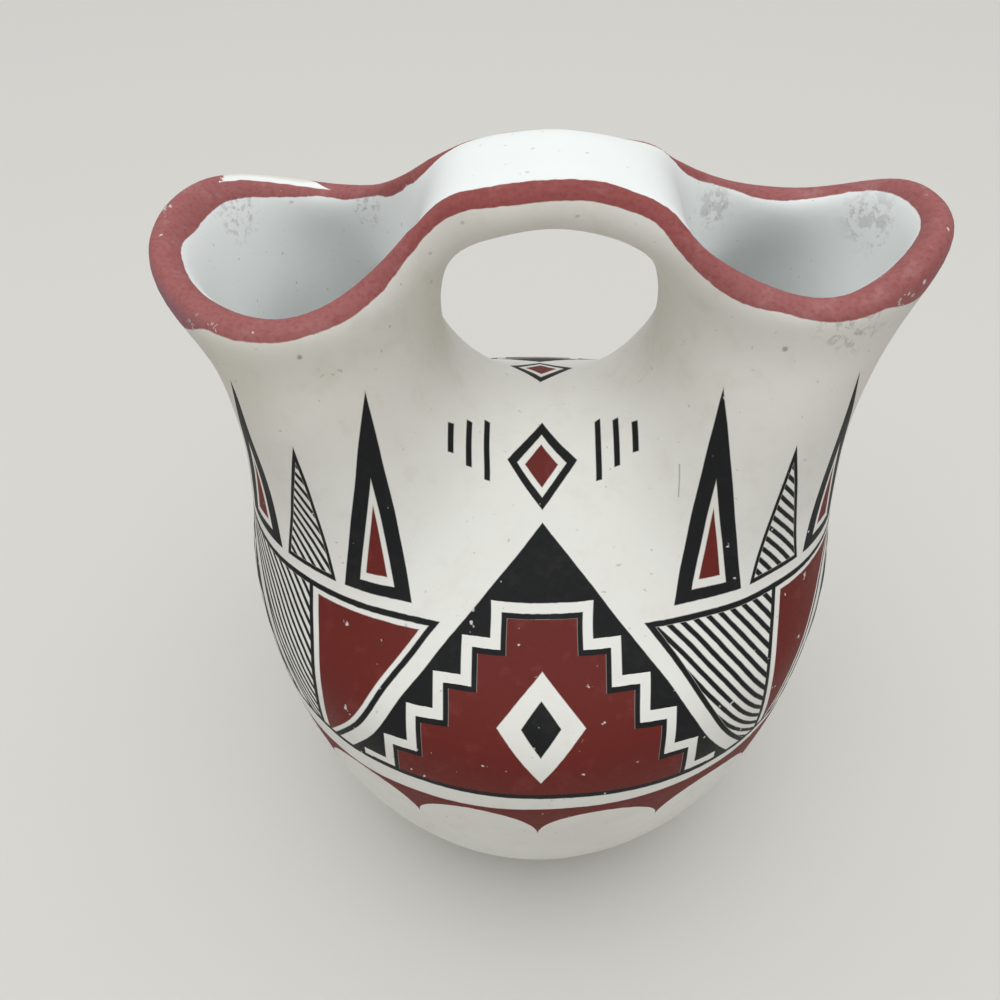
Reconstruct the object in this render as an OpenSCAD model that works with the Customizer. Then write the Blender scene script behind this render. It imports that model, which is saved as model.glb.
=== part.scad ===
// Wedding vase: one hollow clay vessel with a round belly, two flared spouts and a strap handle
// that bridges them. The spouts differ a little, as in a vessel shaped by hand.
// X runs from the left spout to the right one, Y from front to back, and Z is up from the table.

/* [Belly] */
// Widest diameter of the belly
belly_d = 95.4; // [80:0.2:110]
// Height of the widest part above the table
belly_z = 64.5; // [54:0.5:72]
// How much lower the widest part is at the front and back
belly_drop = 6; // [0:0.5:12]
// Fullness of the lower belly: 2 is an oval, more is squarer
fullness = 2; // [1.8:0.05:2.6]
// Diameter of the flat foot
foot_d = 46; // [36:1:56]
// Thickness of the belly's wall
wall = 4.5; // [3:0.1:6]
// Thickness of the floor inside
floor_t = 5; // [3.5:0.1:8]

/* [Shoulder] */
// Height at which the two spouts part
shoulder_z = 90; // [85:0.5:94]
// Size of the shoulder from side to side
shoulder_w = 91.2; // [82:0.2:100]
// Size of the shoulder from front to back
shoulder_depth = 58; // [50:0.5:64]
// Height of the saddle between the spouts
saddle_z = 92.4; // [88:0.2:98]
// How steeply the shoulder falls away from the saddle to the front and back
shoulder_fall = 25; // [15:1:35]

/* [Spouts] */
// Distance between the tips of the two spouts
spout_span = 107.8; // [98:0.2:120]
// Height of the left tip
left_tip_z = 120.4; // [112:0.2:126]
// Height of the right tip
right_tip_z = 123.4; // [112:0.2:128]
// Depth of the left spout from front to back
left_mouth = 40.4; // [30:0.2:44]
// Depth of the right spout from front to back
right_mouth = 34; // [30:0.2:44]
// How much the left spout narrows towards the handle
left_pear = 0.26; // [0:0.02:0.4]
// How much the right spout narrows towards the handle
right_pear = 0; // [0:0.02:0.4]
// How far the left rim dips between its tip and the handle
left_dip = 2.8; // [0:0.1:6]
// How far the right rim dips between its tip and the handle
right_dip = 4.4; // [0:0.1:6]
// How far behind the middle the left tip sits
left_back = 1.7; // [-4:0.1:4]
// How far behind the middle the right tip sits
right_back = 0.6; // [-4:0.1:4]
// How soon the left neck flares: the share reached two thirds of the way up
left_flare = 0.4; // [0.2:0.02:0.7]
// How soon the right neck flares
right_flare = 0.54; // [0.2:0.02:0.7]
// Thickness of the rim
rim_t = 4.6; // [3:0.1:6]
// Thickness of a spout's wall
spout_wall = 4.3; // [3:0.1:5.5]

/* [Handle] */
// Height of the handle's top
handle_z = 133; // [126:0.2:140]
// Width of the handle from front to back
handle_w = 18.4; // [13:0.2:24]
// Thickness of the handle at its middle
handle_t = 8.2; // [5.5:0.1:10]
// Width of the opening under the handle
window_w = 30.6; // [24:0.2:34]
// How far the handle and the opening sit to the right of the middle
handle_x = 0.7; // [-3:0.1:3]

/* [Hidden] */

ring_n = 16;   // points in a ring round the belly
loop_n = 10;   // points in a loop round a spout
rows = 3;      // loops in a spout above the shoulder
spans = 4;     // stretches of the handle between the two lips
fit_steps = 8; // rounds that bring the smooth surface onto the design points
smooth_steps = 2;
seat = 0.3;    // clay this close to the table is rubbed flat

belly_r = belly_d / 2;
foot_r = foot_d / 2;
foot_turn = acos(pow(foot_r / belly_r, fullness / 2));
low_h = belly_z / pow(sin(foot_turn), 2 / fullness);
window_top = handle_z - handle_t;
window_h = window_top - saddle_z;
window_z = (window_top + saddle_z) / 2;
tip_x = spout_span / 2;
edge_y = handle_w / 2;
front_z = saddle_z - shoulder_depth / 2 * tan(shoulder_fall);

function power(v, e) = sign(v) * pow(abs(v), e);
function mix(a, b, t) = a + (b - a) * t;

// A ring round the belly. It is squarer as square grows and can lie higher at its sides.
function ring(half_x, half_y, side_z, front_z, square = 2) = [
    for (k = [0 : ring_n - 1])
        let (a = k * 360 / ring_n)
        [half_x * power(cos(a), 2 / square), half_y * power(sin(a), 2 / square),
         side_z + (front_z - side_z) * pow(sin(a), 2)]
];

// A ring of the lower belly, set in by t: turn is 0 at its widest part and grows downwards.
function low_ring(turn, t) =
    let (r = (belly_r - t) * pow(cos(turn), 2 / fullness), z = belly_z - (low_h - t) * pow(sin(turn), 2 / fullness))
    ring(r, r, z, z);

// A point on the edge of the opening under the handle, at an angle from its level middle line.
function window_x(angle) = window_w / 2 * power(cos(angle), 0.83);
function window_y(angle) = window_z + window_h / 2 * power(sin(angle), 0.83);

// A loop round a spout, from the opening's side (0) over the back to the tip and the front.
// near and far are distances from the middle, pear draws the loop in towards the handle, and
// back is how far behind the middle its tip sits.
function loop(side, near, far, half_y, near_z, mid_z, far_z, pear, back) = [
    for (j = [0 : loop_n - 1])
        let (a = j * 360 / loop_n, c = cos(a), inner_x = near + side * handle_x)
        [side * ((inner_x + far) / 2 + (inner_x - far) / 2 * c), half_y * sin(a) * (1 - pear * c) + back * pow((1 - c) / 2, 2),
         mid_z + (near_z - far_z) / 2 * c + ((near_z + far_z) / 2 - mid_z) * c * c]
];

function mouth(side) = (side < 0 ? left_mouth : right_mouth) / 2;
function tip_z(side) = side < 0 ? left_tip_z : right_tip_z;
function pear(side) = side < 0 ? left_pear : right_pear;
function dip(side) = side < 0 ? left_dip : right_dip;
function back(side) = side < 0 ? left_back : right_back;
// How far a lip stands out beside the handle.
function beside(side) = 2.2 - 8.5 * pear(side);
function flare(side) = side < 0 ? left_flare : right_flare;

// The loop of a lip, level with its tip but for the dip and the rise beside the tip. Its points
// under the handle are put at their own place: the middle one at mid, the others at corner.
function lip(side, far, half_y, lift, mid, corner) =
    let (
        pts = loop(side, mid[0], far, half_y, 0, 0, 0, pear(side), back(side)),
        heights = [0, 0, -0.8 * dip(side), -dip(side), -0.6, 0]
    )
    [
        for (j = [0 : loop_n - 1])
            let (i = min(j, loop_n - j))
            i == 0 ? [handle_x + side * mid[0], 0, mid[1]]
            : i == 1 ? [handle_x + side * corner[0], j == 1 ? corner[1] : -corner[1], corner[2]]
            : [pts[j][0], pts[j][1], tip_z(side) + lift + heights[i]]
    ];

// The two loops of a neck, set in by t: each widens towards the lip over the height it climbs.
function neck(side, t) = [
    for (row = [0, 1])
        let (
            angle = [-20, 12][row],
            climb = [0.32, 0.67][row],
            z = mix(shoulder_z, tip_z(side), climb)
        )
        loop(side, window_x(angle) + t, mix(shoulder_w / 2, tip_x, [0.08, flare(side)][row]) - t,
            mix(shoulder_depth * 0.41, mouth(side), [0.35, 1][row]) - t + [0, 0.4][row],
            window_y(angle) - t * 0.2, z, z, pear(side) * [0.25, 0.7][row],
            back(side) * [0.15, 0.5][row])
];

// Outer skin of one spout: its neck and its lip.
function spout_skin(side) = concat(neck(side, 0), [
    lip(side, tip_x, mouth(side), 0, [window_x(40), window_y(40)],
        [window_x(0), edge_y + beside(side), handle_z - handle_t - 3.8 + 0.45 * beside(side)])
]);

// Inner skin of the same spout: its throat and the inside of its lip.
function spout_lining(side) = concat(neck(side, spout_wall), [
    lip(side, tip_x - rim_t, mouth(side) - rim_t, 0.3, [window_x(0) + 2, handle_z - 6],
        [window_x(0) + 1.8, edge_y + beside(side) - 1.6, handle_z - 5.1 - 0.5 * beside(side)])
]);

// Three points across the handle at one station: front edge, middle and back edge.
function across(x, y, edge_z, mid_z) = [
    for (q = [-1, 0, 1]) [handle_x + x, q * y, q == 0 ? mid_z : edge_z]
];

handle_skin = [
    for (s = [-1, 0, 1])
        let (z = window_y(90 - 27 * abs(s)))
        across(s * window_x(63), edge_y - 0.5, z + 1.6, z)
];
handle_lining = [
    for (s = [-1, 0, 1])
        let (z = handle_z - 1.3 * abs(s))
        across(s * (window_x(63) + 1.6), edge_y - 1.3, z - 0.8, z)
];

// The saddle: three points from front to back in each of the columns -1, 0 and 1.
function saddle_patch(t) = [
    for (col = [-1, 0, 1]) for (row = [-1, 0, 1])
        [handle_x + col * (window_x(-54) + t * 0.9), row * shoulder_depth * 0.21,
         window_y(-90 + 36 * abs(col)) - 3.2 * abs(row) - t * (1 - 0.2 * abs(col))]
];

// The ring between the belly's widest part and the shoulder, set in by t.
function waist_ring(t) =
    ring(belly_r * 0.98 - t, mix(belly_r, shoulder_depth / 2, 0.3) - t * 0.85,
        mix(belly_z, shoulder_z, 0.41) - t * 0.2, mix(belly_z, front_z, 0.31) - t * 0.5);

skin_rings = [
    ring(foot_r * 0.66, foot_r * 0.66, -1.5, -1.5),
    low_ring(foot_turn, 0),
    low_ring(foot_turn * 0.66, 0),
    low_ring(foot_turn * 0.32, 0),
    ring(belly_r, belly_r, belly_z, belly_z - belly_drop),
    waist_ring(0),
    ring(shoulder_w / 2, shoulder_depth / 2, shoulder_z, front_z, 2.5)
];
lining_rings = [
    ring(foot_r * 0.72, foot_r * 0.72, floor_t, floor_t),
    low_ring(foot_turn * 0.66, wall),
    low_ring(foot_turn * 0.28, wall),
    waist_ring(wall),
    ring(shoulder_w / 2 - wall, shoulder_depth / 2 - wall * 0.7, shoulder_z - wall * 0.3, front_z - wall * 0.9, 2.5)
];

// Design points of one skin after the other: rings, saddle, left spout, right spout, handle.
function flat(lists) = [for (l = lists) for (p = l) p];
skin = concat(flat(skin_rings), saddle_patch(0), flat(spout_skin(-1)), flat(spout_skin(1)),
    flat(handle_skin));
lining = concat(flat(lining_rings), saddle_patch(wall), flat(spout_lining(-1)),
    flat(spout_lining(1)), flat(handle_lining));
design = concat(skin, lining);

// A layer is where its points start and how many rings it has.
outer = [0, len(skin_rings)];
inner = [len(skin), len(lining_rings)];

function ring_at(layer, r, k) = layer[0] + r * ring_n + (k + ring_n) % ring_n;
function patch_start(layer) = layer[0] + layer[1] * ring_n;
// Columns of the saddle run from the front of the shoulder (row 0) to its back (row 4).
function saddle_at(layer, col, row) =
    row == 0 ? ring_at(layer, layer[1] - 1, 12 + col)
    : row == 4 ? ring_at(layer, layer[1] - 1, 4 - col)
    : patch_start(layer) + (col + 1) * 3 + row - 1;
function spout_at(layer, side, row, j) =
    let (m = j % loop_n)
    row > 0 ? patch_start(layer) + 9 + ((side < 0 ? 0 : rows) + row - 1) * loop_n + m
    : m < 2 ? saddle_at(layer, side, 2 + m)
    : m == loop_n - 1 ? saddle_at(layer, side, 1)
    : ring_at(layer, layer[1] - 1, side < 0 ? 3 + m : 5 - m);
function handle_at(layer, i, q) =
    i == 0 ? spout_at(layer, -1, rows, [loop_n - 1, 0, 1][q])
    : i == spans ? spout_at(layer, 1, rows, [loop_n - 1, 0, 1][q])
    : patch_start(layer) + 9 + 2 * rows * loop_n + (i - 1) * 3 + q;

function turned(face) = [for (i = [len(face) - 1 : -1 : 0]) face[i]];

// Faces of one skin, counter-clockwise as seen from outside the vessel.
function skin_faces(layer) = concat(
    [[for (k = [ring_n - 1 : -1 : 0]) ring_at(layer, 0, k)]],
    [
        for (r = [0 : layer[1] - 2]) for (k = [0 : ring_n - 1])
            [ring_at(layer, r, k), ring_at(layer, r, k + 1),
             ring_at(layer, r + 1, k + 1), ring_at(layer, r + 1, k)]
    ],
    [
        for (col = [-1, 0]) for (row = [0 : 3])
            [saddle_at(layer, col, row), saddle_at(layer, col + 1, row),
             saddle_at(layer, col + 1, row + 1), saddle_at(layer, col, row + 1)]
    ],
    [
        for (side = [-1, 1]) for (row = [0 : rows - 1]) for (j = [0 : loop_n - 1])
            let (f = [spout_at(layer, side, row, j), spout_at(layer, side, row, j + 1),
                      spout_at(layer, side, row + 1, j + 1), spout_at(layer, side, row + 1, j)])
            side < 0 ? f : turned(f)
    ],
    [
        for (i = [0 : spans - 1]) for (q = [0, 1])
            [handle_at(layer, i, q), handle_at(layer, i, q + 1),
             handle_at(layer, i + 1, q + 1), handle_at(layer, i + 1, q)]
    ]
);

// The rim joins the two skins along the one line that runs round both mouths and the handle.
rim_faces = concat(
    [
        for (side = [-1, 1]) for (j = [1 : loop_n - 2])
            let (f = [spout_at(outer, side, rows, j), spout_at(outer, side, rows, j + 1),
                      spout_at(inner, side, rows, j + 1), spout_at(inner, side, rows, j)])
            side < 0 ? f : turned(f)
    ],
    [
        for (i = [0 : spans - 1]) for (q = [0, 2])
            let (f = [handle_at(outer, i, q), handle_at(outer, i + 1, q),
                      handle_at(inner, i + 1, q), handle_at(inner, i, q)])
            q == 0 ? f : turned(f)
    ]
);

cage_faces = concat(skin_faces(outer), [for (f = skin_faces(inner)) turned(f)], rim_faces);

// Subdivision of a closed mesh, after Catmull and Clark. The links of a mesh are its faces, half
// edges, the partner of each, the half edges that name an edge, each half's edge, each corner's
// outgoing halves, and where each face's halves start.
function links(faces, count) =
    let (
        start = [for (i = 0, s = 0; i < len(faces); s = s + len(faces[i]), i = i + 1) s],
        halves = [
            for (f = [0 : len(faces) - 1]) let (c = faces[f], n = len(c))
                for (i = [0 : n - 1]) [c[i], c[(i + 1) % n], f]
        ],
        last = len(halves) - 1,
        twins = search([for (h = halves) h[1] * count + h[0]], [for (h = halves) h[0] * count + h[1]]),
        edges = [for (i = [0 : last]) if (halves[i][0] < halves[i][1]) i],
        owner = search([for (i = [0 : last]) halves[i][0] < halves[i][1] ? i : twins[i]], edges),
        fans = search([for (v = [0 : count - 1]) v], [for (h = halves) h[0]], 0)
    )
    [faces, halves, twins, edges, owner, fans, start];

function total(pts) = [for (p = pts) 1] * pts;
function mean(pts) = total(pts) / len(pts);

function face_points(pts, net) = [for (f = net[0]) mean([for (v = f) pts[v]])];
function edge_points(pts, net, mids) = [
    for (e = net[3])
        let (h = net[1][e])
        (pts[h[0]] + pts[h[1]] + mids[h[2]] + mids[net[1][net[2][e]][2]]) / 4
];
function corner_points(pts, net, mids) = [
    for (v = [0 : len(pts) - 1])
        let (fan = net[5][v], n = len(fan))
        (mean([for (h = fan) mids[net[1][h][2]]]) + mean([for (h = fan) pts[v] + pts[net[1][h][1]]])
            + (n - 3) * pts[v]) / n
];

// Where each corner of a mesh ends up on the fully smoothed surface.
function settled(pts, net) =
    let (mids = face_points(pts, net), sides = edge_points(pts, net, mids), tops = corner_points(pts, net, mids))
    [
        for (v = [0 : len(pts) - 1])
            let (fan = net[5][v], n = len(fan))
            (n * n * tops[v] + 4 * total([for (h = fan) sides[net[4][h]]])
                + total([for (h = fan) mids[net[1][h][2]]])) / (n * (n + 5))
    ];

// A cage whose smoothed surface passes through the goal points.
function fitted(pts, goal, net, steps) =
    steps == 0 ? pts : fitted(pts + (goal - settled(pts, net)), goal, net, steps - 1);

function smoothed(pts, faces, steps) =
    let (net = links(faces, len(pts)))
    steps == 0 ? [settled(pts, net), faces]
    : let (
        mids = face_points(pts, net),
        sides = edge_points(pts, net, mids),
        side_0 = len(pts),
        mid_0 = side_0 + len(sides),
        quads = [
            for (f = [0 : len(faces) - 1]) let (c = faces[f], n = len(c))
                for (i = [0 : n - 1])
                    [c[i], side_0 + net[4][net[6][f] + i], mid_0 + f,
                     side_0 + net[4][net[6][f] + (i + n - 1) % n]]
        ]
    )
    smoothed(concat(corner_points(pts, net, mids), sides, mids), quads, steps - 1);

// The vessel, with its foot rubbed flat on the table plane.
module vase() {
    cage_net = links(cage_faces, len(design));
    cage = fitted(design, design, cage_net, fit_steps);
    mesh = smoothed(cage, cage_faces, smooth_steps);
    points = [for (p = mesh[0]) [p[0], p[1], p[2] < seat ? 0 : p[2]]];
    triangles = [for (f = mesh[1]) for (i = [1 : 2]) [f[0], f[i + 1], f[i]]];
    color("snow")
        polyhedron(points = points, faces = triangles, convexity = 8);
}

vase();
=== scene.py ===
import math
from types import SimpleNamespace

import bpy
import numpy as np
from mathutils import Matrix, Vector, kdtree


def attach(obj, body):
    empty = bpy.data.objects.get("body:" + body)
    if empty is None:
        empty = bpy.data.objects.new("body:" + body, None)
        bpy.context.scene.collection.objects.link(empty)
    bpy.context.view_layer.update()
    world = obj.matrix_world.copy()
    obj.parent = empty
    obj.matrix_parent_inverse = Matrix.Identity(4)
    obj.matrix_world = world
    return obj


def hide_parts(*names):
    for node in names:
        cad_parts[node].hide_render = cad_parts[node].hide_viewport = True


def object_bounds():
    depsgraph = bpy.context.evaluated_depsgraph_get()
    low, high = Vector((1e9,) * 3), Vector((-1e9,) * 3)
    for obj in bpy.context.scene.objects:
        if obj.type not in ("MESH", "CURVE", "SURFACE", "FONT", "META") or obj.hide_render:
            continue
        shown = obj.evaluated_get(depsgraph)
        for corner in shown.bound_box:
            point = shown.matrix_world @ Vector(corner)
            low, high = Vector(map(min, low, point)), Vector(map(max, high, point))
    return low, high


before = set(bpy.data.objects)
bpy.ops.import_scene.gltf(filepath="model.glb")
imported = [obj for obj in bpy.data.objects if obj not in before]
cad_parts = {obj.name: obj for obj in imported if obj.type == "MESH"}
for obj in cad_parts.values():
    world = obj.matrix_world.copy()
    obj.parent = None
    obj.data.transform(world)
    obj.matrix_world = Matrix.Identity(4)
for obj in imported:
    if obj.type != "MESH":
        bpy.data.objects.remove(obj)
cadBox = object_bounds()
print("vase: the packed model is in place")

# camera, standing where the photograph was taken
cameraSetup = {
    "place": (-0.00359, -0.13035, 0.19668),
    "turnDegrees": (45.999, 0.293, 1.008),
    "lensMm": 39.06,
    "sensorMm": 36,
    "nearest": 0.01,
}


def addCamera(setup):
    turn = [math.radians(angle) for angle in setup["turnDegrees"]]
    bpy.ops.object.camera_add(location=setup["place"], rotation=turn)
    camera = bpy.context.active_object
    camera.name = "photoCamera"
    camera.data.lens = setup["lensMm"]
    camera.data.sensor_width = setup["sensorMm"]
    camera.data.clip_start = setup["nearest"]
    bpy.context.scene.camera = camera


addCamera(cameraSetup)
print("vase: camera set")


# shader maths
class Wire:
    tree = None

    def __init__(self, socket):
        self.socket = socket

    @classmethod
    def node(cls, kind, settings=None, inputs=None, out=0):
        made = cls.tree.nodes.new(kind)
        for name, value in (settings or {}).items():
            setattr(made, name, value)
        for key, value in (inputs or {}).items():
            if isinstance(value, Wire):
                cls.tree.links.new(value.socket, made.inputs[key])
            else:
                made.inputs[key].default_value = value
        return cls(made.outputs[out])

    @classmethod
    def maths(cls, operation, *values):
        return cls.node("ShaderNodeMath", {"operation": operation}, dict(enumerate(values)))

    def __add__(self, other):
        return self.maths("ADD", self, other)

    def __sub__(self, other):
        return self.maths("SUBTRACT", self, other)

    def __rsub__(self, other):
        return self.maths("SUBTRACT", other, self)

    def __mul__(self, other):
        return self.maths("MULTIPLY", self, other)

    def __truediv__(self, other):
        return self.maths("DIVIDE", self, other)

    def __gt__(self, other):
        return self.maths("GREATER_THAN", self, other)

    def __abs__(self):
        return self.maths("ABSOLUTE", self)

    def __neg__(self):
        return self.maths("MULTIPLY", self, -1)

    def __and__(self, other):
        return self.maths("MINIMUM", self, other)

    def __or__(self, other):
        return self.maths("MAXIMUM", self, other)

    __radd__ = __add__
    __rmul__ = __mul__


def linear(red, green, blue):
    parts = [value / 255 for value in (red, green, blue)]
    parts = [p / 12.92 if p < 0.04045 else ((p + 0.055) / 1.055) ** 2.4 for p in parts]
    return (*parts, 1)


def ramp(value, low, high):
    return Wire.node("ShaderNodeMapRange", {"interpolation_type": "SMOOTHSTEP"},
                     {0: value, 1: low, 2: high, 3: 0.0, 4: 1.0})


def brushed(field, soft=0.09):
    return ramp(field, -soft, soft)


def mixed(mask, under, over):
    return Wire.node("ShaderNodeMix", {"data_type": "RGBA"}, {0: mask, 6: under, 7: over}, 2)


def noise(place, perMm, detail=2.0, roughness=0.5):
    return Wire.node("ShaderNodeTexNoise", {"noise_dimensions": "3D"},
                     {"Vector": place, "Scale": perMm * 1000, "Detail": detail, "Roughness": roughness})


def spot(place, at, size):
    middle = [value / 1000 for value in at]
    away = Wire.node("ShaderNodeVectorMath", {"operation": "DISTANCE"}, {0: place, 1: middle}, 1)
    return size - away * 1000


# the clay body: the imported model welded, made of quads again and smoothed
claySetup = {
    "weldMm": 0.01,
    "smoothingRounds": 1,
    "rubbings": 60,             # how often the ends of the handle are rubbed softer
    "rubbedFromMm": (6, 13),    # where that sets in, out from the middle, and where it ends
    "rubbedToMm": (27, 20),
    "rubbedAboveMm": (108, 116),
    "rubbedWithinMm": (8.5, 6),     # no further to the front or back
    "rubbedFacing": (0, 0.4),   # only where the clay faces up or out
    "unevenMm": 0.25,           # how far the hand-scraped surface dips
    "unevenSizeMm": 16,
    "evenBelowMm": 4,           # the foot stays flat
    "rimFromMm": 108,           # the painted rim is looked for above this height
    "rimReachMm": 12,           # and measured this far below it
    "farMm": 60.0,              # all that is further away gets this distance
    "spoutAxisMm": 32.5,
    "handleLean": 1.0,          # the rim line lies on the upper corner of the handle's edge
    "handleHalfMm": 6,
    "handleToLipMm": (12, 30),
}


def stepBetween(value, low, high):
    share = np.clip((value - low) / (high - low), 0, 1)
    return share * share * (3 - 2 * share)


def addClay(setup):
    clay = bpy.data.objects.new("paintedVessel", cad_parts["vase"].data.copy())
    bpy.context.scene.collection.objects.link(clay)
    bpy.ops.object.select_all(action="DESELECT")
    clay.select_set(True)
    bpy.context.view_layer.objects.active = clay
    bpy.ops.mesh.customdata_custom_splitnormals_clear()
    bpy.ops.object.mode_set(mode="EDIT")
    bpy.ops.mesh.select_all(action="SELECT")
    bpy.ops.mesh.remove_doubles(threshold=setup["weldMm"] / 1000)
    # the diagonals go: they are the edges with more than four edges at both ends
    bpy.ops.mesh.select_all(action="DESELECT")
    bpy.ops.mesh.select_mode(type="EDGE")
    bpy.ops.object.mode_set(mode="OBJECT")
    ends = np.empty(len(clay.data.edges) * 2, int)
    clay.data.edges.foreach_get("vertices", ends)
    crowded = np.bincount(ends) > 4
    clay.data.edges.foreach_set("select", crowded[ends].reshape(-1, 2).all(1))
    bpy.ops.object.mode_set(mode="EDIT")
    bpy.ops.mesh.dissolve_edges(use_verts=False)
    bpy.ops.object.mode_set(mode="OBJECT")
    clay.data.shade_smooth()
    quads = sum(len(face.vertices) == 4 for face in clay.data.polygons)
    print("vase: faces", len(clay.data.polygons), "of which quads", quads)

    smoothing = clay.modifiers.new("smoothing", "SUBSURF")
    smoothing.levels = smoothing.render_levels = setup["smoothingRounds"]
    bpy.ops.object.modifier_apply(modifier=smoothing.name)

    # the handle's top runs into each spout without an edge
    rubbed = clay.vertex_groups.new(name="rubbed")
    for vertex in clay.data.vertices:
        x, y, z = vertex.co * 1000
        facing = vertex.normal.z + math.copysign(vertex.normal.x, x * vertex.normal.x)
        weight = stepBetween(abs(x), *setup["rubbedFromMm"]) * stepBetween(abs(x), *setup["rubbedToMm"])
        weight *= stepBetween(z, *setup["rubbedAboveMm"]) * stepBetween(abs(y), *setup["rubbedWithinMm"])
        weight *= stepBetween(facing, *setup["rubbedFacing"])
        if weight > 0:
            rubbed.add([vertex.index], float(weight), "REPLACE")
    rubbing = clay.modifiers.new("rubbing", "SMOOTH")
    rubbing.vertex_group, rubbing.factor, rubbing.iterations = rubbed.name, 0.5, setup["rubbings"]
    bpy.ops.object.modifier_apply(modifier=rubbing.name)

    standing = clay.vertex_groups.new(name="aboveTable")
    for vertex in clay.data.vertices:
        standing.add([vertex.index], min(1, vertex.co.z * 1000 / setup["evenBelowMm"]), "REPLACE")
    dips = bpy.data.textures.new("handScraped", "CLOUDS")
    dips.noise_scale = setup["unevenSizeMm"] / 1000
    uneven = clay.modifiers.new("uneven", "DISPLACE")
    uneven.texture, uneven.vertex_group = dips, standing.name
    uneven.strength, uneven.mid_level = setup["unevenMm"] / 1000, 1
    bpy.ops.object.modifier_apply(modifier=uneven.name)
    clay.vertex_groups.clear()
    return clay


def markRim(clay, setup):
    mesh = clay.data
    places = np.empty(len(mesh.vertices) * 3)
    mesh.vertices.foreach_get("co", places)
    places = places.reshape(-1, 3) * 1000
    normals = np.empty(len(mesh.vertices) * 3)
    mesh.vertex_normals.foreach_get("vector", normals)
    normals = normals.reshape(-1, 3)
    edges = np.empty(len(mesh.edges) * 2, int)
    mesh.edges.foreach_get("vertices", edges)
    edges = edges.reshape(-1, 2)

    # outward is away from a spout's axis, and down and sideways on the handle
    x, y, z = places.T
    along = np.stack([x - np.sign(x) * setup["spoutAxisMm"], y, 0 * z], 1)
    along /= np.linalg.norm(along, axis=1)[:, None] + 1e-9
    lean = np.clip(y / setup["handleHalfMm"], -1, 1) * setup["handleLean"]
    across = np.stack([0 * x, lean, 0 * z - 1], 1)
    share = stepBetween(np.abs(x), *setup["handleToLipMm"])[:, None]
    outward = share * along + (1 - share) * across
    outward /= np.linalg.norm(outward, axis=1)[:, None] + 1e-9
    sense = (normals * outward).sum(1)

    # the rim line is where the surface turns from outside to inside
    first, second = edges.T
    turns = (sense[first] * sense[second] < 0) & (np.minimum(z[first], z[second]) > setup["rimFromMm"])
    share = (sense[first] / (sense[first] - sense[second] + 1e-12))[turns][:, None]
    line = places[first[turns]] * (1 - share) + places[second[turns]] * share
    tree = kdtree.KDTree(len(line))
    for index, point in enumerate(line):
        tree.insert(point, index)
    tree.balance()

    # the outside is all that is reached from the foot without crossing that line
    outside = np.zeros(len(places), bool)
    outside[np.argmin(z)] = True
    kept = edges[~turns]
    while True:
        before = outside.sum()
        joined = outside[kept[:, 0]] | outside[kept[:, 1]]
        outside[kept[joined].ravel()] = True
        if outside.sum() == before:
            break

    distance = np.full(len(places), setup["farMm"])
    for index in np.nonzero(z > setup["rimFromMm"] - setup["rimReachMm"])[0]:
        distance[index] = tree.find(places[index])[2]
    rim = mesh.attributes.new("rimMm", "FLOAT", "POINT")
    rim.data.foreach_set("value", np.where(outside, distance, -distance))
    hollow = mesh.attributes.new("hollow", "FLOAT", "POINT")
    hollow.data.foreach_set("value", np.where(outside, 0.0, 1.0))
    print("vase: rim line of", len(line), "points, with", int(outside.sum()), "corners outside it")


# slip and paint, with every size in mm
colourSetup = {
    "slip": (234, 233, 228),
    # painted light: the slip inside the hollows is a brighter, cooler copy of the outside slip
    "slipInsideLitCool": (237, 240, 239),
    # partly painted shade: the grey of the slip's stain, which also paints the necks greyer
    "slipStainAndShade": (212, 206, 194),
    "bareClay": (216, 210, 200),
    "smudge": (134, 132, 128),
    # partly painted light: the rim red is the belly's red made brighter, as polished and as lit, and its
    # worn tone is paler still, as worn and as a painted highlight
    "rimRedLitAndPolished": (148, 76, 74),
    "rimRedWornAndHighlit": (178, 126, 127),
    "rimPurple": (142, 106, 118),
    "bellyRed": (104, 33, 27),
    "black": (15, 16, 18),
    "blackWorn": (46, 44, 42),
}


# what every paint asks of a point: its place, where it is from the rim, and the noises that they share
def readSurface():
    place = Wire.node("ShaderNodeTexCoord", out=3)
    elsewhere = Wire.node("ShaderNodeVectorMath", {"operation": "ADD"}, {0: place, 1: (0.3, 0.1, 0.7)})
    x, y, z = [Wire.node("ShaderNodeSeparateXYZ", inputs={0: place}, out=axis) * 1000 for axis in range(3)]
    return SimpleNamespace(
        place=place, x=x, y=y, z=z,
        rimMm=Wire.node("ShaderNodeAttribute", {"attribute_name": "rimMm"}, out=2),
        hollow=Wire.node("ShaderNodeAttribute", {"attribute_name": "hollow"}, out=2),
        sway=noise(place, 0.07, 1.0) - 0.5,
        sideSway=noise(elsewhere, 0.07, 1.0) - 0.5,
        waver=noise(place, 0.12, 2.0) - 0.5,
        ragged=noise(place, 0.9, 2.0) - 0.5,
        grit=noise(place, 0.8, 3.0, 0.7),
        grain=noise(place, 1.6, 3.0, 0.6),
        thin=ramp(noise(place, 0.25, 3.0, 0.65), 0.52, 0.72),
    )


wrapSetup = {
    "radius": cadBox[1][1] * 1000,
    "frameHeight": 54,              # the framing line above the table
    "frameBow": 2.9,                # how much it climbs at the front and back
    "bowReach": 42,                 # and how far to each side
    "slopeFrom": 60,                # above this height the pattern follows the slope of the shoulder
    "slopeGrows": (59, 73),
    "flatGrows": (56, 66),          # from the round belly to the flat faces of the shoulder
    "flatFaces": (0.05, 0.3),       # which are the front and the back, told by y over x
    "sway": 0.9,
    "ragged": 0.16,
}


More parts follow.
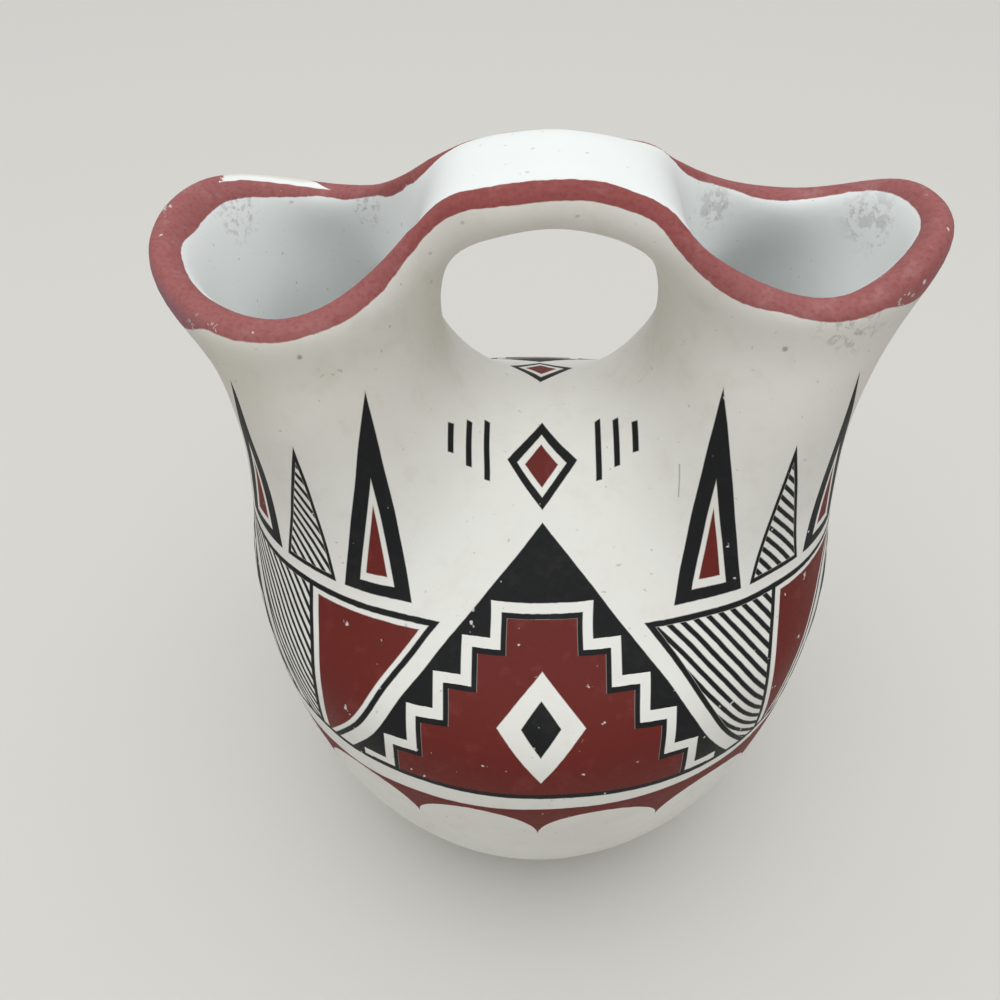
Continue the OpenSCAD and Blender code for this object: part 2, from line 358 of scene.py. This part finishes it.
# how far a point is up from the framing line, and round the belly from the middle of the front
def wrapBelly(surface, setup):
    x, y, z = surface.x, surface.y, surface.z
    radius = setup["radius"]
    rise = (z - setup["slopeFrom"]) | 0
    inward = (radius - Wire.maths("SQRT", x * x + y * y)) | 0
    inward = inward * ramp(z, *setup["slopeGrows"])
    bow = (1 - x * x / setup["bowReach"] ** 2) | 0
    bow = bow * bow * setup["frameBow"]
    slant = Wire.maths("SQRT", rise * rise + inward * inward)
    up = (z & setup["slopeFrom"]) - setup["frameHeight"] - bow + slant

    turn = Wire.maths("ARCTAN2", x, -y)
    flatTurn = Wire.maths("ARCSINE", (x / radius) & 0.999 | -0.999)
    behind = y > 0
    flatTurn = flatTurn * (1 - behind) + (Wire.maths("SIGN", x) * math.pi - flatTurn) * behind
    flat = ramp(z, *setup["flatGrows"]) * ramp(abs(y) / (abs(x) + 1), *setup["flatFaces"])
    around = (turn + (flatTurn - turn) * flat) * radius
    up = up + surface.sway * setup["sway"] + surface.ragged * setup["ragged"]
    return up, around + surface.sideSway * setup["sway"]


def fromNearest(value, apart):
    share = value / apart
    return (share - Wire.maths("ROUND", share)) * apart


def diamond(across, height, wide, tall):
    return (1 - abs(across) / wide - abs(height) / tall) * (wide * tall / math.hypot(wide, tall))


def thorn(across, height, tall, wide):
    return ((1 - height / tall) * wide - abs(across)) * (tall / math.hypot(wide, tall)) & height


designSetup = {
    "panels": 4,
    "line": 0.85,
    "lowest": 0.4,
    "hatchApart": 1.45,
    "hatchHalf": 0.348,
    "hatchLean": (0.72, 0.69),
    "mountainHalf": 31,
    "slope": 0.759,                 # how much narrower the mountain gets for each mm up
    "stairsHalf": 21.5,
    "stairsTall": 27,
    "step": (4.1, 5.4),             # across and up
    "stairGap": 2.3,
    "stairLine": 0.8,
    "inlayUp": 11.5,
    "inlay": (6.4, 8.2),            # half the width and height, as for every diamond
    "inlayCore": (2.9, 4.0),
    "valleyHalf": 3.6,
    "valleyTop": 25,
    "valleyMargin": 0.7,
    "hatchFromJoin": 0.3,
    "redFromJoin": 1.6,
    "thornFoot": 26.6,
    "hatchedThorn": (21, 5.4),      # height and half width, as for every thorn
    "hatchedThornLine": 0.68,
    "blackThornAside": 12.6,
    "blackThorn": (29, 5.6),
    "blackThornBeyond": 14,         # none on the middle of the front and back
    "slitFoot": 28.2,
    "slit": (15, 2.8),
    "slitCoreFoot": 29.4,
    "slitCore": (10, 1.7),
    "crownUp": 49.5,
    "crown": (5.2, 6.8),
    "crownGap": (3.7, 4.9),
    "crownCore": (2.5, 3.4),
    "crownReach": 26,               # only on the front and back
    "barsAside": 8.2,
    "barsApart": 2.6,
    "barHalf": (0.42, 3.9),
    "barShorter": 1.05,             # each bar is this much shorter than the one before it
}


# black and red figures of the belly, in fields that are above zero where there is paint
def drawDesign(up, around, surface, setup):
    x, y = surface.x, surface.y
    line, slope = setup["line"], setup["slope"]
    lean = 1 / math.hypot(1, slope)
    panel = wrapSetup["radius"] * 2 * math.pi / setup["panels"]
    fromMiddle = fromNearest(around, panel)
    fromJoin = fromNearest(around - panel / 2, panel)
    half, halfJoin = abs(fromMiddle), abs(fromJoin)
    hatching = up * setup["hatchLean"][0] + fromJoin * setup["hatchLean"][1]
    hatching = setup["hatchHalf"] - abs(fromNearest(hatching, setup["hatchApart"]))

    # black mountain with stairs let in: white gap, line, red ground and a white diamond
    def stairs(less):
        height, (stepAcross, stepUp) = up - less, setup["step"]
        wide = setup["stairsHalf"] - Wire.maths("FLOOR", height / stepUp) * stepAcross - (half - less)
        return wide & (setup["stairsTall"] - height)

    mountain = (setup["mountainHalf"] - up * slope - half) * lean
    ground = stairs(0)
    inlay = diamond(fromMiddle, up - setup["inlayUp"], *setup["inlay"])
    inlayCore = diamond(fromMiddle, up - setup["inlayUp"], *setup["inlayCore"])
    stairLine = stairs(setup["stairLine"]) & -ground
    mountainBlack = (mountain & -stairs(setup["stairGap"])) | stairLine | inlayCore
    mountainRed = ground & -inlay

    # valley between two mountains: hatched on one side, red on the other
    valley = (setup["valleyHalf"] + up * slope - halfJoin) * lean & (setup["valleyTop"] - up)
    inside = valley - line
    hatch = inside & hatching & (-fromJoin - setup["hatchFromJoin"])
    spine = 0.5 * line - halfJoin & valley
    patch = inside & (fromJoin - setup["redFromJoin"]) & (inside - setup["valleyMargin"])
    valleyBlack = (valley & -inside) | hatch | spine

    # thorns that stand on the valley: a hatched one on the join and a black one on each side
    height = up - setup["thornFoot"]
    aside = halfJoin - setup["blackThornAside"]
    blackThorn = thorn(aside, height, *setup["blackThorn"]) & (abs(x) - setup["blackThornBeyond"])
    slit = thorn(aside, up - setup["slitFoot"], *setup["slit"])
    slitCore = thorn(aside, up - setup["slitCoreFoot"], *setup["slitCore"])
    hatched = thorn(fromJoin, height, *setup["hatchedThorn"])
    hatchedInside = hatched - setup["hatchedThornLine"]
    thornBlack = (blackThorn & -slit) | (hatched & -hatchedInside) | (hatchedInside & hatching)

    # a diamond over the mountain at the front and back, with short bars beside the front one
    height = up - setup["crownUp"]
    crown = diamond(fromMiddle, height, *setup["crown"])
    crownGap = diamond(fromMiddle, height, *setup["crownGap"])
    crownCore = diamond(fromMiddle, height, *setup["crownCore"])
    aside = half - setup["barsAside"]
    which = Wire.maths("ROUND", aside / setup["barsApart"]) & 2 | 0
    barHalf, barTall = setup["barHalf"]
    bars = barHalf - abs(aside - which * setup["barsApart"])
    bars = bars & (barTall - which * setup["barShorter"] - abs(height)) & -y
    frontOrBack = setup["crownReach"] - abs(x) & (abs(y) - abs(x) * 0.2 - 2)

    above = up - setup["lowest"]
    black = (mountainBlack | valleyBlack | thornBlack) & above | ((crown & -crownGap) | bars) & frontOrBack
    red = (mountainRed | patch | slitCore) & above | (crownCore & frontOrBack)
    return black, red


borderSetup = {
    "frameUp": 0.1,
    "frameHalf": 0.51,
    "gapBelow": 3.6,                # between the framing line and the red border
    "gapTilt": 0.045,               # the gap narrows to one side
    "scallops": 15,
    "archTop": 5.4,                 # red above each arch reaches this far down
    "pointDrop": 8.3,               # and the points between two arches this much further
}


# framing line, and the scalloped border under it
def drawBorder(up, around, surface, setup):
    frameLine = setup["frameHalf"] - abs(up - setup["frameUp"])
    wide = wrapSetup["radius"] * 2 * math.pi / setup["scallops"]
    fromArch = abs(fromNearest(around + wide / 2, wide)) / (wide / 2)
    arch = 1 - Wire.maths("SQRT", (1 - fromArch * fromArch) | 0)
    border = surface.x * setup["gapTilt"] - setup["gapBelow"] - up
    return frameLine, border & (up + setup["archTop"] + arch * setup["pointDrop"])


rimSetup = {
    "handleBand": (1.5, 1.2),       # red inside and outside the rim line
    "lipBand": (2.2, 2.8),
    "tipExtra": (1.0, 3.2),
    "lipFrom": (10, 26),            # how far out the handle becomes the lip, and the lip the tip
    "tipFrom": (42, 51),
    "backExtra": (0.6, 1.6, 0.4),   # more inside at the back: left, at the left tip, and right
    "backFrom": (9, 17),
    "backTipFrom": (32, 44),
    "waver": 0.9,
    "ragged": 0.25,
    "flakeAcross": (-45.5, -33),    # the flake at the back of the left lip
    "flakeBehind": 8,
    "flakeInside": 1.1,
    "chips": [((-54.0, 4.0, 120.0), 5.0), ((54.0, 4.0, 124.0), 4.0), ((-43.5, -19.0, 117.0), 3.5),
              ((46.0, -14.5, 119.5), 2.6)],
}


# red band along the rim, broadest round the tips, with the places where it has come off
def drawRim(surface, setup):
    x, rimMm, waver = surface.x, surface.rimMm, surface.waver
    lip, tip = ramp(abs(x), *setup["lipFrom"]), ramp(abs(x), *setup["tipFrom"])
    front = ramp(-surface.y, -4, 4)
    inside, outside = [handle + lip * front * (broad - handle) + tip * extra for handle, broad, extra
                       in zip(setup["handleBand"], setup["lipBand"], setup["tipExtra"])]
    left, leftTip, right = setup["backExtra"]
    behind = ramp(-x, *setup["backFrom"]) * left + ramp(-x, *setup["backTipFrom"]) * leftTip
    inside = inside + (1 - front) * (behind + ramp(x, *setup["backFrom"]) * right)
    band = (outside - rimMm) & (rimMm + inside)
    band = band + waver * setup["waver"] + surface.ragged * setup["ragged"]

    left, right = setup["flakeAcross"]
    flake = (rimMm + setup["flakeInside"] + waver * 2.5) & (x - left + surface.grit * 3)
    flake = flake & (right - x - rimMm * 2 + waver * 8) & (surface.y - setup["flakeBehind"])
    chips = 0
    for at, size in setup["chips"]:
        chips = ramp(spot(surface.place, at, size), 0, size * 0.6) | chips
    chips = chips * ramp(surface.grit, 0.59, 0.61)
    return brushed(band) * (1 - brushed(flake)) * (1 - chips)


wearAndShadeSetup = {
    "greySpots": [((30.3, -17.0, 114.2), 0.55), ((-31.2, -20.1, 114.7), 0.5), ((-10.8, -9.1, 127.5), 0.4),
                  ((-29.5, -20.0, 113.6), 0.3)],
    "soiled": [((38.5, -16.0, 117.8), 6.5), ((-44.5, 11.5, 117.3), 5.5), ((-27.0, 12.5, 117.5), 4.5),
               ((24.0, 10.5, 119.0), 4.5), ((45.5, 7.0, 119.0), 6.0)],
    "crackX": 19,                   # a hair crack at the right of the front
    "crackZ": (90.8, 95),
    "crackHalf": 0.1,
    "neckShadeFrom": (90, 108),       # painted shade: from here up the necks are painted greyer than the belly
}


# specks that cover the paint, pinholes, dirt on the slip, and how grey the slip is, in tone that varies at
# random and in shade painted on the necks
def drawWearAndShade(surface, setup):
    x, y, z, place = surface.x, surface.y, surface.z, surface.place
    specks = ramp(noise(place, 0.55, 2.0, 0.6), 0.71, 0.76)
    pins = ramp(noise(place, 1.0, 1.0), 0.73, 0.79)
    soil = 0
    for at, size in setup["soiled"]:
        soil = ramp(spot(place, at, size), 0, size * 0.7) | soil
    soil = soil * (ramp(surface.grit, 0.50, 0.64) | ramp(surface.thin, 0.15, 0.4) * 0.7)
    greySpots = 0
    for at, size in setup["greySpots"]:
        greySpots = ramp(spot(place, at, size) + surface.ragged * 0.6, -0.05, 0.3) | greySpots
    low, high = setup["crackZ"]
    crack = setup["crackHalf"] - abs(x - setup["crackX"] + surface.sway * 4)
    crack = brushed(crack & (high - z) & (z - low) & -y, 0.04)
    dirt = pins * 0.35 | soil * 0.4 | greySpots * 0.7 | crack * 0.6

    cloud = noise(place, 0.035, 3.0, 0.55)
    mottle = ramp(noise(place, 0.22, 4.0, 0.65), 0.48, 0.74)
    # painted shade: from 90 to 108 mm up the slip is painted greyer on the necks; the cloud and mottle are
    # tone that varies at random
    stainAndNeckShade = ramp(cloud, 0.42, 0.75) * 0.3 + ramp(z, *setup["neckShadeFrom"]) * 0.4 + mottle * 0.22
    return specks, pins, dirt, stainAndNeckShade


finishSetup = {
    "roughness": 0.78,
    "grainRoughness": 0.25,
    "paintSmoother": 0.14,          # paint is a little smoother than bare slip
    "specularLevel": 0.25,
    "bumpStrength": 0.35,
    "bumpMm": 0.12,
}


def paintVessel(clay, colours, setup):
    material = bpy.data.materials.new("paintedSlip")
    material.use_nodes = True
    Wire.tree = material.node_tree
    shader = material.node_tree.nodes["Principled BSDF"]
    shade = {name: linear(*colour) for name, colour in colours.items()}
    surface = readSurface()
    hollow, rimMm, grain, thin = surface.hollow, surface.rimMm, surface.grain, surface.thin

    up, around = wrapBelly(surface, wrapSetup)
    black, red = drawDesign(up, around, surface, designSetup)
    frameLine, border = drawBorder(up, around, surface, borderSetup)
    blackMask = brushed(black | frameLine) * (1 - hollow)
    redMask = brushed(red | border) * (1 - hollow)
    rimMask = drawRim(surface, rimSetup)
    specks, pins, dirt, stainAndNeckShade = drawWearAndShade(surface, wearAndShadeSetup)
    paint = blackMask | redMask | rimMask

    # the outside slip greys with its stain and with the shade painted on the necks
    slip = mixed(stainAndNeckShade * (1 - hollow), shade["slip"], shade["slipStainAndShade"])
    # painted light: inside the hollows the slip takes its brighter, cooler copy
    slip = mixed(hollow, slip, shade["slipInsideLitCool"])
    slip = mixed(ramp(grain, 0.55, 0.8) * 0.12, slip, shade["bareClay"])
    slip = mixed(dirt, slip, shade["smudge"])
    bellyRed = mixed(thin * 0.2, shade["bellyRed"], shade["rimRedLitAndPolished"])
    lip = ramp(abs(surface.x), *rimSetup["lipFrom"])
    # partly painted highlight: the rim red pales towards its worn and highlit tone, at random and more on
    # the lips
    rimRedLitAndPolished = mixed(thin * 0.3 + lip * 0.3, shade["rimRedLitAndPolished"], shade["rimRedWornAndHighlit"])
    rimRedLitAndPolished = mixed(ramp(grain, 0.4, 0.75) * 0.3, rimRedLitAndPolished, shade["bellyRed"])
    rimRedLitAndPolished = mixed(ramp(rimMm, 1.0, 2.6) * ramp(-surface.x, 40, 50) * 0.7, rimRedLitAndPolished, shade["rimPurple"])
    blackPaint = mixed(thin * 0.3, shade["black"], shade["blackWorn"])
    colour = mixed(redMask, slip, bellyRed)
    colour = mixed(blackMask, colour, blackPaint)
    colour = mixed(rimMask, colour, rimRedLitAndPolished)
    colour = mixed(specks * paint * 0.7, colour, shade["slip"])
    Wire.tree.links.new(colour.socket, shader.inputs["Base Color"])

    rough = setup["roughness"] + (grain - 0.5) * setup["grainRoughness"] - paint * setup["paintSmoother"]
    Wire.tree.links.new(rough.socket, shader.inputs["Roughness"])
    shader.inputs["Specular IOR Level"].default_value = setup["specularLevel"]
    height = grain * 0.35 + noise(surface.place, 0.3, 2.0) * 0.8 - pins * 0.4
    bump = {"Strength": setup["bumpStrength"], "Distance": setup["bumpMm"] / 1000, "Height": height}
    bump = Wire.node("ShaderNodeBump", inputs=bump)
    Wire.tree.links.new(bump.socket, shader.inputs["Normal"])
    clay.data.materials.clear()
    clay.data.materials.append(material)


clay = addClay(claySetup)
markRim(clay, claySetup)
paintVessel(clay, colourSetup, finishSetup)
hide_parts("vase")
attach(clay, "root")
print("vase: clay painted")

# studio: pale floor, one soft lamp above the camera, and a sky that is brightest overhead
studioSetup = {
    "floorSize": 4.0,
    "floorColour": (213, 211, 207),
    "floorRoughness": 0.9,
    "floorSpecular": 0.1,
    "skyColour": (252, 253, 252),
    "skyStrengths": (0.0, 1.30),        # at the horizon and overhead
    "skyClimb": (0.1, 0.95),
    "backdropStrength": 0.72,
    "lampPlace": (-0.04, -0.30, 0.85),
    "lampAimedAt": (0, 0, 0.07),
    "lampSize": 0.6,
    "lampWatts": 1.8,
    "lampColour": (0.97, 1.0, 1.0),
}


def addStudio(setup):
    bpy.ops.mesh.primitive_plane_add(size=setup["floorSize"], location=(0, 0, 0))
    floor = bpy.context.active_object
    floor.name = "studioFloor"
    material = bpy.data.materials.new("paleFloor")
    material.use_nodes = True
    Wire.tree = material.node_tree
    shader = material.node_tree.nodes["Principled BSDF"]
    shader.inputs["Base Color"].default_value = linear(*setup["floorColour"])
    shader.inputs["Roughness"].default_value = setup["floorRoughness"]
    shader.inputs["Specular IOR Level"].default_value = setup["floorSpecular"]
    floor.data.materials.append(material)

    world = bpy.data.worlds.new("softSky")
    world.use_nodes = True
    Wire.tree = world.node_tree
    sky = world.node_tree.nodes["Background"]
    sky.inputs[0].default_value = linear(*setup["skyColour"])
    rays = ("Is Camera Ray", "Is Glossy Ray", "Is Transmission Ray")
    seen = [Wire.node("ShaderNodeLightPath", out=name) for name in rays]
    horizon, overhead = setup["skyStrengths"]
    climb = Wire.node("ShaderNodeSeparateXYZ", inputs={0: Wire.node("ShaderNodeTexCoord")}, out=2)
    light = ramp(climb, *setup["skyClimb"]) * (overhead - horizon) + horizon
    strength = (seen[0] | seen[1] | seen[2]) * (setup["backdropStrength"] - light) + light
    Wire.tree.links.new(strength.socket, sky.inputs[1])
    bpy.context.scene.world = world

    aim = Vector(setup["lampAimedAt"]) - Vector(setup["lampPlace"])
    turn = aim.to_track_quat("-Z", "Y").to_euler()
    bpy.ops.object.light_add(type="AREA", location=setup["lampPlace"], rotation=turn)
    lamp = bpy.context.active_object
    lamp.name = "softLamp"
    lamp.data.size = setup["lampSize"]
    lamp.data.energy = setup["lampWatts"]
    lamp.data.color = setup["lampColour"]


addStudio(studioSetup)
bpy.context.scene.view_settings.view_transform = "Standard"
print("vase: studio set")
